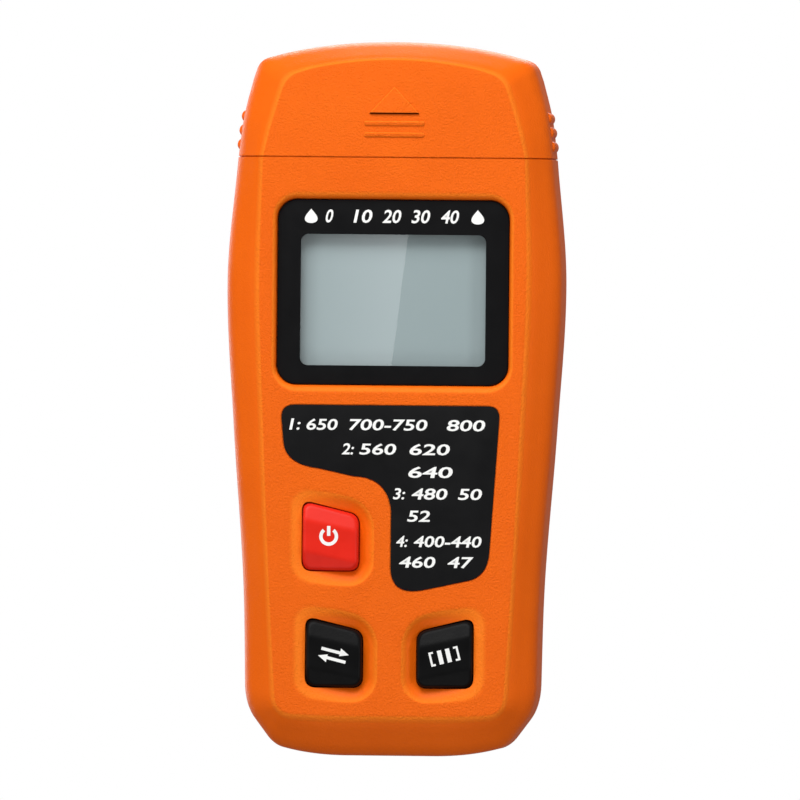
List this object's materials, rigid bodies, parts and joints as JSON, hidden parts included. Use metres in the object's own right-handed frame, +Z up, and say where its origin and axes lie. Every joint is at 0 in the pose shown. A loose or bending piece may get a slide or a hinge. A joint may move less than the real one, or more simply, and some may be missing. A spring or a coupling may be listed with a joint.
{
  "type": "moisture meter",
  "caption": "Handheld pin-type wood moisture meter with a two-shell case, pull-off pin cap, LCD window, press keys, stuck-on label and a battery door at the back",
  "frame": {"origin": "centre of the bounding box's bottom, on the surface the meter stands on", "axes": "+Z up the length of the meter from its foot to its cap; -Y out of its front; +X to the right as seen from the front"},
  "size_m": [0.065, 0.0288, 0.1383],
  "materials": {
    "orange_plastic": "fine spark-eroded grain",
    "red_plastic": "smooth satin",
    "black_key": "satin",
    "black_film": "satin printed film",
    "lens": "clear acrylic, printed black behind around its window",
    "polariser": "smooth grey-green film",
    "display_glass": "clear",
    "reflector": "grey-green",
    "black_plastic": "fine grain",
    "pink_rubber": "matte",
    "board": "solder resist",
    "black_resin": "satin",
    "ceramic": "matte",
    "capacitor_sleeve": "smooth",
    "ivory_plastic": "smooth",
    "steel": "plated",
    "polished_steel": "polished",
    "brass": "turned",
    "red_wire": "smooth PVC",
    "black_wire": "smooth PVC",
    "battery_can": "satin lacquer",
    "foam": "open cell",
    "print_white": "pad-printed ink"
  },
  "bodies": {
    "case": {"front_shell": "orange_plastic", "rear_shell": "orange_plastic", "display_lens": "lens", "lens_tape": "black_film", "lcd_polariser": "polariser", "lcd_glass": "display_glass", "lcd_reflector": "reflector", "lcd_frame": "black_plastic", "zebra_strip_upper": "pink_rubber", "zebra_strip_lower": "pink_rubber", "main_pcb": "board", "chip_blob": "black_resin", "amplifier_chip": "black_resin", "smd_parts": "ceramic", "filter_capacitor": "capacitor_sleeve", "power_switch_base": "black_plastic", "power_switch_cover": "steel", "mode_switch_base": "black_plastic", "mode_switch_cover": "steel", "hold_switch_base": "black_plastic", "hold_switch_cover": "steel", "wood_label": "black_film", "pin_holder": "black_plastic", "pin_socket_left": "brass", "pin_socket_right": "brass", "pin_left": "polished_steel", "pin_right": "polished_steel", "pin_lead_left": "red_wire", "pin_lead_right": "black_wire", "battery": "battery_can", "battery_terminals": "polished_steel", "battery_snap": "black_plastic", "battery_snap_contacts": "polished_steel", "battery_lead_red": "red_wire", "battery_lead_black": "black_wire", "case_screws": "steel", "pcb_screws": "steel"},
    "cap": {"protective_cap": "orange_plastic"},
    "door": {"battery_door": "orange_plastic", "door_foam": "foam"},
    "power_key": {"power_button": "red_plastic", "power_switch_stem": "ivory_plastic"},
    "mode_key": {"mode_button": "black_key", "mode_switch_stem": "ivory_plastic"},
    "hold_key": {"hold_button": "black_key", "hold_switch_stem": "ivory_plastic"}
  },
  "joints": [
    {"name": "cap_slide", "type": "slide", "parent": "case", "child": "cap", "axis": [0, 0, 1], "range_m": [0, 0.04]},
    {"name": "power_press", "type": "slide", "parent": "case", "child": "power_key", "axis": [0, 1, 0], "range_m": [0, 0.0004], "stiffness_N_per_m": 3500, "springref_m": -0.0001},
    {"name": "mode_press", "type": "slide", "parent": "case", "child": "mode_key", "axis": [0, 1, 0], "range_m": [0, 0.0004], "stiffness_N_per_m": 3500, "springref_m": -0.0001},
    {"name": "hold_press", "type": "slide", "parent": "case", "child": "hold_key", "axis": [0, 1, 0], "range_m": [0, 0.0004], "stiffness_N_per_m": 3500, "springref_m": -0.0001},
    {"name": "door_swing", "type": "hinge", "parent": "case", "child": "door", "pos_m": [0, 0.0144, 0.006], "axis": [-1, 0, 0], "range_deg": [0, 70]}
  ]
}
